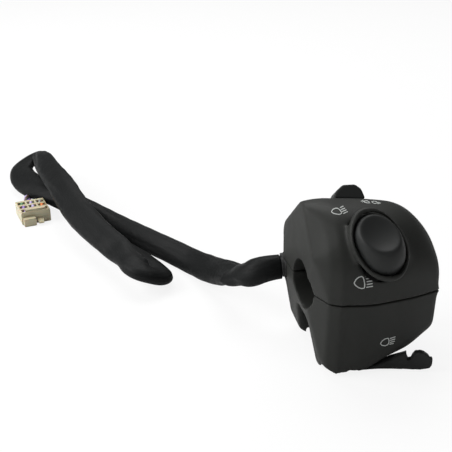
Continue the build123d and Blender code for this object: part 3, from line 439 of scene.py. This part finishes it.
def flattened_tube(name, points):
    """The sleeve's skin: an oval tube with pinches at its folds and creases along it."""
    ways = headings(points)
    walked = [0.0]
    for first, second in zip(points, points[1:]):
        walked.append(walked[-1] + (second - first).length)
    whole = walked[-1]
    skin_points, faces, uvs = [], [], []
    for at, way, reached in zip(points, ways, walked):
        share = reached / whole
        side = way.cross(Vector((0, 0, 1))).normalized()
        over = side.cross(way).normalized()
        lean = float(np.interp(share, LEAN_SHARES, LEAN_ANGLES))
        across = side * cos(lean) + over * sin(lean)
        above = over * cos(lean) - side * sin(lean)
        wide_by = 1 + sum(w * bulge(share, centre, reach) for centre, reach, w, t in PINCHES)
        thick_by = 1 + sum(t * bulge(share, centre, reach) for centre, reach, w, t in PINCHES)
        half_w = SLEEVE_WIDTH / 2 * min(wide_by, WIDEST)
        half_t = SLEEVE_THICK / 2 * thick_by
        for step in range(ROUND):
            turn = 2 * pi * step / ROUND
            reach = 1.0
            for around, wander, waves, wide, deep in CREASES:
                line = around + wander * sin(waves * 14 * share + around * 3)
                apart = (turn - line + pi) % (2 * pi) - pi
                fade = 0.5 + 0.5 * sin(share * 31 * waves + around * 5)
                reach -= deep * fade * exp(-((apart / (wide * 6)) ** 2))
            ripple = RIPPLE * sin(share * 260 + 2 * sin(turn * 2)) * (0.4 + 0.6 * sin(share * 17) ** 2)
            reach += ripple
            c, s = cos(turn), sin(turn)
            squared = (abs(c) ** SQUARENESS + abs(s) ** SQUARENESS) ** (-1 / SQUARENESS)
            place = at + across * (half_w * c * squared * reach) + above * (half_t * s * squared * reach)
            place.z = max(place.z, FLOOR + FLOOR_AIR)
            skin_points.append(place)
            uvs.append((share, abs(turn / pi - 1)))
    rings = len(points)
    for ring in range(rings - 1):
        for step in range(ROUND):
            a = ring * ROUND + step
            b = ring * ROUND + (step + 1) % ROUND
            faces.append((a, b, b + ROUND, a + ROUND))
    for ring, turned in ((0, True), (rings - 1, False)):
        skin_points.append(points[ring])
        uvs.append((ring / rings, 0.5))
        hub = len(skin_points) - 1
        for step in range(ROUND):
            a = ring * ROUND + step
            b = ring * ROUND + (step + 1) % ROUND
            faces.append((hub, b, a) if turned else (hub, a, b))
    return mesh_piece(name, skin_points, faces, [pvc_skin], uvs)


sleeve_line = points_along("sleeve_line", SLEEVE_ROUTE, 14)
sleeve = flattened_tube("harness_sleeve_skin", sleeve_line)
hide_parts("harness_sleeve")
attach(sleeve, "casing")


def strand_tree(name, colour_names):
    """Node tree that runs one wire of each colour round a path, twisted together."""
    tree = bpy.data.node_groups.new(name, "GeometryNodeTree")
    face = tree.interface
    face.new_socket("Geometry", in_out="INPUT", socket_type="NodeSocketGeometry")
    lay = (LEAD_D - STRAND_D) / 2
    for label, value in (("Wire radius", STRAND_D / 2), ("Lay radius", lay), ("Turns", LEAD_TURNS)):
        socket = face.new_socket(label, in_out="INPUT", socket_type="NodeSocketFloat")
        socket.default_value = value
    face.new_socket("Geometry", in_out="OUTPUT", socket_type="NodeSocketGeometry")
    made = tree.nodes
    link = tree.links.new
    entry = made.new("NodeGroupInput")
    leave = made.new("NodeGroupOutput")
    along = made.new("GeometryNodeSplineParameter")
    twist = made.new("ShaderNodeMath")
    twist.operation = "MULTIPLY"
    full = made.new("ShaderNodeMath")
    full.operation = "MULTIPLY"
    full.inputs[1].default_value = 2 * pi
    link(entry.outputs["Turns"], full.inputs[0])
    link(along.outputs["Factor"], twist.inputs[0])
    link(full.outputs[0], twist.inputs[1])
    tilted = made.new("GeometryNodeSetCurveTilt")
    link(entry.outputs["Geometry"], tilted.inputs["Curve"])
    link(twist.outputs[0], tilted.inputs["Tilt"])
    joined = made.new("GeometryNodeJoinGeometry")
    for index, colour in enumerate(colour_names):
        circle = made.new("GeometryNodeCurvePrimitiveCircle")
        circle.inputs["Resolution"].default_value = 10
        link(entry.outputs["Wire radius"], circle.inputs["Radius"])
        moved = made.new("GeometryNodeTransform")
        angle = 2 * pi * index / (len(colour_names) - 1)
        out = (0.0, 0.0) if index == len(colour_names) - 1 else (cos(angle), sin(angle))
        place = made.new("ShaderNodeCombineXYZ")
        for axis in (0, 1):
            scaled = made.new("ShaderNodeMath")
            scaled.operation = "MULTIPLY"
            scaled.inputs[1].default_value = out[axis]
            link(entry.outputs["Lay radius"], scaled.inputs[0])
            link(scaled.outputs[0], place.inputs[axis])
        link(circle.outputs["Curve"], moved.inputs["Geometry"])
        link(place.outputs[0], moved.inputs["Translation"])
        tube = made.new("GeometryNodeCurveToMesh")
        tube.inputs["Fill Caps"].default_value = True
        link(tilted.outputs["Curve"], tube.inputs["Curve"])
        link(moved.outputs["Geometry"], tube.inputs["Profile Curve"])
        skin = made.new("GeometryNodeSetMaterial")
        skin.inputs["Material"].default_value = wires[colour]
        link(tube.outputs["Mesh"], skin.inputs["Geometry"])
        link(skin.outputs["Geometry"], joined.inputs["Geometry"])
    real = made.new("GeometryNodeRealizeInstances")
    link(joined.outputs["Geometry"], real.inputs["Geometry"])
    link(real.outputs["Geometry"], leave.inputs["Geometry"])
    return tree


lead_curve = spline_object("lead_line_curve", LEAD_ROUTE, 12)
bpy.context.scene.collection.objects.link(lead_curve)
strands = lead_curve.modifiers.new("strands", "NODES")
strands.node_group = strand_tree("twisted_leads", STRAND_COLOURS)
bpy.context.view_layer.update()
lead_mesh = bpy.data.meshes.new_from_object(lead_curve.evaluated_get(bpy.context.evaluated_depsgraph_get()))
lead_mesh.name = "lead_wires_skin"
for polygon in lead_mesh.polygons:
    polygon.use_smooth = True
leads = bpy.data.objects.new("lead_wires_skin", lead_mesh)
bpy.context.scene.collection.objects.link(leads)
bpy.data.objects.remove(lead_curve)
lead_line = points_along("lead_line", LEAD_ROUTE, 12)
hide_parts("lead_wires")
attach(leads, "casing")


def round_wire(points, radius, sides=10):
    """Points and faces of one closed round wire along a line."""
    ways = headings(points)
    made, faces = [], []
    side = ways[0].cross(Vector((0.31, 0.2, 0.93))).normalized()
    for at, way in zip(points, ways):
        side = (side - way * side.dot(way)).normalized()
        over = way.cross(side)
        for step in range(sides):
            turn = 2 * pi * step / sides
            made.append(at + side * (radius * cos(turn)) + over * (radius * sin(turn)))
    for ring in range(len(points) - 1):
        for step in range(sides):
            a = ring * sides + step
            b = ring * sides + (step + 1) % sides
            faces.append((a, b, b + sides, a + sides))
    faces.append(tuple(reversed(range(sides))))
    last = (len(points) - 1) * sides
    faces.append(tuple(last + step for step in range(sides)))
    return made, faces


# Wires seen in the plug's cells, one in each, coming in from the rear
CELL_WIRES = [
    ["green", "lilac", "grey"],
    ["purple", "lilac", "orange"],
    ["purple", "purple", "orange"],
]


def plug_wires():
    made, faces, face_skins = [], [], []
    order = sorted(WIRE_COLOURS)
    for row, names in enumerate(CELL_WIRES):
        for column, colour in enumerate(names):
            centre = PLUG_REAR + PLUG_WAY * (CELLS_FROM_REAR + (row - 1) * CELL_PITCH)
            centre += PLUG_SIDE * ((1 - column) * -CELL_PITCH)
            line = []
            for step in range(CELL_WIRE_STEPS + 1):
                share = step / CELL_WIRE_STEPS
                back = (share - 0.5) * CELL_WIRE_LONG
                rise = PLUG_TALL - CELL_WIRE_SUNK - CELL_WIRE_DROP * share**2
                drift = (0.5 - share) * CELL_WIRE_DRIFT
                line.append(centre + PLUG_WAY * back + PLUG_SIDE * drift + Vector((0, 0, rise)))
            points, quads = round_wire(line, CELL_WIRE_R)
            faces += [tuple(index + len(made) for index in face) for face in quads]
            face_skins += [order.index(colour)] * len(quads)
            made += points
    return mesh_piece("plug_cell_wires", made, faces, [wires[name] for name in order], None, face_skins)


cell_wires = plug_wires()
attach(cell_wires, "casing")


def held_near(distance, reach):
    """From 0 at a feature to 1 at reach and beyond, for a whole array of distances."""
    return np.clip(distance / reach, 0, 1)


def softened(node, body, voxel, rounds, freedom=None):
    """A copy of a CAD node with a moulding's soft edges: an even mesh, then smoothed.
    freedom gives each point's share of the smoothing, from 0 to 1."""
    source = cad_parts[node]
    copy = bpy.data.objects.new(node + "_source", source.data.copy())
    bpy.context.scene.collection.objects.link(copy)
    even = copy.modifiers.new("even", "REMESH")
    even.mode = "VOXEL"
    even.voxel_size = voxel
    bpy.context.view_layer.update()
    mesh = bpy.data.meshes.new_from_object(copy.evaluated_get(bpy.context.evaluated_depsgraph_get()))
    bpy.data.objects.remove(copy)
    count = len(mesh.vertices)
    points = np.empty(count * 3)
    mesh.vertices.foreach_get("co", points)
    points = points.reshape(-1, 3)
    ends = np.empty(len(mesh.edges) * 2, dtype=np.int64)
    mesh.edges.foreach_get("vertices", ends)
    a, b = ends[0::2], ends[1::2]
    near = np.bincount(a, minlength=count) + np.bincount(b, minlength=count)
    share = np.ones(count) if freedom is None else freedom(points)
    for _ in range(rounds):
        for axis in range(3):
            line = points[:, axis]
            total = np.bincount(a, line[b], count) + np.bincount(b, line[a], count)
            points[:, axis] = line + 0.5 * share * (total / near - line)
    mesh.vertices.foreach_set("co", points.reshape(-1))
    mesh.materials.clear()
    mesh.materials.append(NODE_SKINS[node])
    mesh.polygons.foreach_set("use_smooth", [True] * len(mesh.polygons))
    mesh.update()
    mesh.name = node + "_skin"
    piece = bpy.data.objects.new(node + "_skin", mesh)
    bpy.context.scene.collection.objects.link(piece)
    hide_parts(node)
    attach(piece, body)
    return piece


def casing_freedom(points):
    """The casing's seam, bore and rocker opening keep their edges, and its middle moves less."""
    x, y, z = points.T / MM
    seam = held_near(np.abs(z) - 0.7, 2.0)
    bore = held_near(np.hypot(y, z) - 11.5, 1.5)
    from_rocker = points / MM - np.array(ROCKER_AT)
    a, b = from_rocker @ np.array(ROCKER_U), from_rocker @ np.array(ROCKER_W)
    opening = np.hypot(a / ROCKER_HALF, b / ROCKER_R)
    rocker = held_near(np.abs(opening - 1.03) * ROCKER_HALF - 0.3, 0.8)
    rocker[z < 2] = 1
    calm = 0.3 + 0.7 * held_near(x + 8, 16)
    return seam * bore * rocker * calm


upper_skin = softened("upper_housing", "casing", 0.55 * MM, 70, casing_freedom)
lower_skin = softened("lower_housing", "casing", 0.55 * MM, 70, casing_freedom)
softened("dimmer_rocker", "rocker", 0.28 * MM, 40)
softened("light_slider", "slider", 0.25 * MM, 30)


def photo_place(point):
    """Where the camera sees a point, in pixels of the photograph, and how far it is."""
    away = point - CAMERA_AT
    deep = away.dot(AHEAD)
    middle = PHOTO_PX / 2
    return middle + FOCAL_PX * away.dot(RIGHT) / deep, middle - FOCAL_PX * away.dot(UP) / deep, deep


# The casing's lower left corner in pixels: where the CAD has its edge, and how far the
# photograph has it below that, for the skin's front wall down to the ground
CORNER_EDGE = [
    (315.0, 356.0), (316.7, 359.3), (320.2, 364.9), (322.5, 364.0), (326.0, 365.0),
    (330.0, 366.7), (333.3, 368.7), (335.7, 371.1), (337.7, 369.0), (340.0, 367.1),
    (343.3, 366.7), (346.7, 367.5), (349.7, 369.7), (360.0, 370.0),
]
CORNER_DROP = [0.0, 0.6, -2.0, 0.4, 2.7, 4.1, 3.6, 2.2, 4.4, 6.2, 6.1, 4.7, 2.1, 0.0]
CORNER_REACH = 9.0
CORNER_FRONT = (-17.0, -13.0)


def mend_corner(piece):
    """Draws the broken edge of the counterbore in the front wall down to a smooth line."""
    edge_x, edge_y = zip(*CORNER_EDGE)
    for vertex in piece.data.vertices:
        px, py, deep = photo_place(vertex.co)
        if not edge_x[0] < px < edge_x[-1]:
            continue
        near = np.clip((py - float(np.interp(px, edge_x, edge_y)) + CORNER_REACH) / CORNER_REACH, 0, 1)
        front = float(np.interp(vertex.co.y / MM, CORNER_FRONT, (1, 0)))
        drop = near * front * float(np.interp(px, edge_x, CORNER_DROP)) * deep / (FOCAL_PX * UP.z)
        vertex.co.z = max(vertex.co.z - drop, min(vertex.co.z, FLOOR))
    piece.data.update()


mend_corner(lower_skin)

# The trigger's upper edge in pixels: where the CAD has it, and where the photograph does
ARM_FOOT = 369.0
CAD_EDGE = [
    (368.3, 368.3), (378.3, 361.7), (386.7, 358.7), (396.7, 357.0), (405.8, 355.5),
    (410.8, 352.2), (418.3, 349.7), (425.0, 351.3), (430.0, 354.2), (432.5, 360.0),
]
PHOTO_EDGE = [
    (368.3, 368.3), (378.3, 360.0), (386.7, 355.8), (396.7, 351.6), (405.3, 348.6), (406.4, 354.3),
    (408.3, 357.4), (411.2, 357.4), (412.8, 354.0), (415.2, 351.5), (419.2, 350.2), (424.0, 351.2),
    (428.3, 354.6), (431.7, 358.3), (433.0, 361.7),
]


def surface_of(*pieces):
    points, faces = [], []
    for piece in pieces:
        start = len(points)
        points += [vertex.co.copy() for vertex in piece.data.vertices]
        faces += [[start + index for index in polygon.vertices] for polygon in piece.data.polygons]
    return BVHTree.FromPolygons(points, faces)


# The trigger's pivot and swing, and the air kept between its arm and the casing
PIVOT = Vector((-8.0, -12.0, 0.0)) * MM
TRIGGER_THROW = 8 * pi / 180
SWING_STEPS = 8
TRIGGER_AIR = 0.25 * MM
CASTS_FROM = FLOOR - 1.0 * MM


def headroom(point, surface):
    """The height under the casing that a point of the trigger has through its whole swing."""
    lowest = 1.0
    for step in range(SWING_STEPS + 1):
        turn = Matrix.Rotation(TRIGGER_THROW * step / SWING_STEPS, 3, "Z")
        at = PIVOT + turn @ (point - PIVOT)
        hit, _, _, _ = surface.ray_cast(Vector((at.x, at.y, CASTS_FROM)), Vector((0, 0, 1)))
        if hit is not None:
            lowest = min(lowest, hit.z)
    return lowest - TRIGGER_AIR


def hook_trigger(piece, surface):
    """Lifts the trigger's arm towards the casing's edge, as far as its swing leaves room,
    and cuts the notch before its hook."""
    cad_x, cad_y = zip(*CAD_EDGE)
    photo_x, photo_y = zip(*PHOTO_EDGE)
    for vertex in piece.data.vertices:
        px, py, deep = photo_place(vertex.co)
        had, has = float(np.interp(px, cad_x, cad_y)), float(np.interp(px, photo_x, photo_y))
        if px < cad_x[0] or py > ARM_FOOT or had > ARM_FOOT - 1:
            continue
        share = min((ARM_FOOT - py) / (ARM_FOOT - had), 1.1)
        lifted = vertex.co.z + share * (had - has) * deep / (FOCAL_PX * UP.z)
        if lifted > vertex.co.z:
            lifted = min(lifted, max(vertex.co.z, headroom(vertex.co, surface)))
        vertex.co.z = lifted
    piece.data.update()


trigger_skin = softened("pass_trigger", "trigger", 0.28 * MM, 22)
hook_trigger(trigger_skin, surface_of(lower_skin))

casing_surface = surface_of(upper_skin, lower_skin)
PAINT_LIFT = 0.04 * MM
STROKE_STEP_PX = 0.8


def on_casing(px, py):
    """Where the line of sight through a point of the photograph meets the casing."""
    middle = PHOTO_PX / 2
    way = AHEAD * FOCAL_PX + RIGHT * (px - middle) - UP * (py - middle)
    hit, normal, _, _ = casing_surface.ray_cast(CAMERA_AT, way.normalized())
    return hit, normal


def printed_line(points_px, wide_px):
    """A flat stroke of paint that follows the casing along points of the photograph."""
    made, faces = [], []
    steps = []
    for (x0, y0), (x1, y1) in zip(points_px, points_px[1:]):
        count = max(1, int(((x1 - x0) ** 2 + (y1 - y0) ** 2) ** 0.5 / STROKE_STEP_PX))
        steps += [(x0 + (x1 - x0) * i / count, y0 + (y1 - y0) * i / count) for i in range(count)]
    steps.append(points_px[-1])
    for index, (x, y) in enumerate(steps):
        ahead = steps[min(index + 1, len(steps) - 1)]
        behind = steps[max(index - 1, 0)]
        dx, dy = ahead[0] - behind[0], ahead[1] - behind[1]
        size = (dx * dx + dy * dy) ** 0.5 or 1.0
        for hand in (-1, 1):
            hit, normal = on_casing(x - hand * dy / size * wide_px / 2, y + hand * dx / size * wide_px / 2)
            if hit is None:
                return [], []
            if normal.dot(hit - CAMERA_AT) > 0:
                normal = -normal
            made.append(hit + normal * PAINT_LIFT)
    for index in range(len(steps) - 1):
        a = index * 2
        faces.append((a, a + 1, a + 3, a + 2))
    return made, faces


# The push switch's spring, as its own copy fixed to the casing
spring = bpy.data.objects.new("pass_switch_spring_skin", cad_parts["pass_switch_spring"].data.copy())
bpy.context.scene.collection.objects.link(spring)
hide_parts("pass_switch_spring")
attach(spring, "casing")
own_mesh(spring)


# Generic lamp signs, as strokes through points of the photograph: for each sign its
# reflectors, which are closed lines, and its rays, which have two points each
SIGNS = [
    (
        [
            [(331.3, 211.8), (333.0, 209.3), (335.5, 208.2), (337.6, 208.3), (339.4, 209.5),
             (341.0, 211.4), (341.7, 213.0), (340.4, 214.2), (338.4, 214.4), (335.4, 213.9),
             (333.0, 213.1)],
        ],
        [
            ((340.0, 207.7), (343.4, 206.1)), ((341.0, 209.7), (345.0, 208.0)),
            ((342.0, 211.6), (346.4, 209.9)), ((343.2, 213.6), (347.8, 211.6)),
        ],
        0.8,
    ),
    (
        [
            [(364.0, 202.0), (365.0, 200.9), (367.3, 200.8), (369.2, 202.1), (369.9, 202.9), (367.2, 203.0)],
            [(371.6, 201.5), (374.0, 201.1), (376.7, 201.7), (377.4, 202.6), (375.2, 203.7), (372.8, 202.8)],
        ],
        [
            ((360.9, 201.4), (363.4, 200.0)), ((362.2, 202.1), (364.2, 201.0)),
            ((377.6, 204.0), (380.6, 203.0)), ((376.9, 203.1), (379.6, 202.2)),
        ],
        0.6,
    ),
    (
        [
            [(354.1, 282.9), (356.0, 279.5), (358.5, 277.4), (361.6, 276.4), (363.0, 277.3),
             (364.0, 280.2), (364.7, 284.0), (364.6, 287.0), (363.8, 288.3), (361.4, 288.5),
             (358.4, 287.5), (355.4, 285.3)],
        ],
        [
            ((365.2, 276.2), (371.2, 275.1)), ((366.1, 278.9), (371.8, 278.0)),
            ((366.7, 281.7), (372.2, 280.8)), ((366.9, 284.5), (372.6, 283.5)),
            ((366.3, 287.3), (372.9, 286.2)),
        ],
        0.95,
    ),
    (
        [
            [(380.3, 343.6), (382.4, 340.6), (385.4, 338.7), (388.3, 338.1), (389.0, 340.4),
             (388.8, 343.0), (387.5, 344.8), (385.0, 345.8), (382.0, 345.3)],
        ],
        [
            ((389.9, 338.5), (395.4, 336.7)), ((390.1, 340.4), (395.1, 338.9)),
            ((390.0, 342.4), (394.8, 341.1)), ((389.4, 344.2), (393.7, 343.3)),
        ],
        0.8,
    ),
]
sign_points, sign_faces = [], []
for reflectors, rays, stroke_px in SIGNS:
    for stroke in [[*line, line[0]] for line in reflectors] + rays:
        points, quads = printed_line(stroke, stroke_px)
        sign_faces += [tuple(index + len(sign_points) for index in face) for face in quads]
        sign_points += points
signs = mesh_piece("lamp_signs", sign_points, sign_faces, [white_print])
for polygon in signs.data.polygons:
    if polygon.normal.dot(polygon.center - CAMERA_AT) > 0:
        polygon.flip()
signs.data.update()
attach(signs, "casing")


# Floor, light and camera
FLOOR_HALF = 3.0
FLOOR_BELOW = 0.02 * MM
FLOOR_GLOW = 0.86
SKY_LIGHT = 0.15
SKY_SEEN = 1.0


def studio_floor():
    """White paper that shows the camera an even glow and still keeps the shadow."""
    finish = Finish("studio_floor", Roughness=0.9, Specular_IOR_Level=0.1)
    place = finish.place()
    paper = finish.noise(place, 30.0, 2.0)
    finish.feed("Base Color", finish.between(paper, (0.84, 0.84, 0.84), (0.88, 0.88, 0.88)))
    tree = finish.material.node_tree
    glow = tree.nodes.new("ShaderNodeEmission")
    glow.inputs["Color"].default_value = (1, 1, 1, 1)
    glow.inputs["Strength"].default_value = 1.0
    seen = tree.nodes.new("ShaderNodeLightPath")
    share = tree.nodes.new("ShaderNodeMath")
    share.operation = "MULTIPLY"
    share.inputs[1].default_value = FLOOR_GLOW
    tree.links.new(seen.outputs["Is Camera Ray"], share.inputs[0])
    blend = tree.nodes.new("ShaderNodeMixShader")
    tree.links.new(share.outputs[0], blend.inputs[0])
    tree.links.new(finish.shader.outputs[0], blend.inputs[1])
    tree.links.new(glow.outputs[0], blend.inputs[2])
    tree.links.new(blend.outputs[0], tree.nodes["Material Output"].inputs["Surface"])
    return finish.material


signs_of_corners = [(-1, -1), (1, -1), (1, 1), (-1, 1)]
corners = [(x * FLOOR_HALF, y * FLOOR_HALF, FLOOR - FLOOR_BELOW) for x, y in signs_of_corners]
floor = mesh_piece("floor", corners, [(0, 1, 2, 3)], [studio_floor()])

world = bpy.data.worlds.new("studio")
bpy.context.scene.world = world
world.use_nodes = True
sky = world.node_tree
backdrop = sky.nodes["Background"]
backdrop.inputs["Color"].default_value = (1, 1, 1, 1)
path = sky.nodes.new("ShaderNodeLightPath")
level = sky.nodes.new("ShaderNodeMix")
level.data_type = "FLOAT"
level.inputs[2].default_value = SKY_LIGHT
level.inputs[3].default_value = SKY_SEEN
sky.links.new(path.outputs["Is Camera Ray"], level.inputs[0])
sky.links.new(level.outputs[0], backdrop.inputs["Strength"])


def softbox(name, at, size, power, aim=(-0.05, 0.03, 0.0)):
    data = bpy.data.lights.new(name, "AREA")
    data.shape = "RECTANGLE"
    data.size, data.size_y = size
    data.energy = power
    lamp = bpy.data.objects.new(name, data)
    lamp.location = at
    lamp.rotation_euler = (Vector(aim) - Vector(at)).to_track_quat("-Z", "Y").to_euler()
    bpy.context.scene.collection.objects.link(lamp)


softbox("key_box", (-0.85, 0.15, 0.55), (0.6, 0.6), 10.0)
softbox("top_box", (0.00, 0.60, 0.90), (0.9, 0.6), 9.0)
softbox("front_fill", (0.35, -0.85, 0.45), (0.8, 0.6), 1.0)

lens = bpy.data.cameras.new("photo_camera")
lens.sensor_width = SENSOR_MM
lens.lens = FOCAL_PX / PHOTO_PX * SENSOR_MM
lens.clip_start = 0.01
eye = bpy.data.objects.new("photo_camera", lens)
eye.location = CAMERA_AT
eye.rotation_euler = AHEAD.to_track_quat("-Z", "Y").to_euler()
bpy.context.scene.collection.objects.link(eye)
bpy.context.scene.camera = eye
bpy.context.scene.view_settings.view_transform = "Standard"
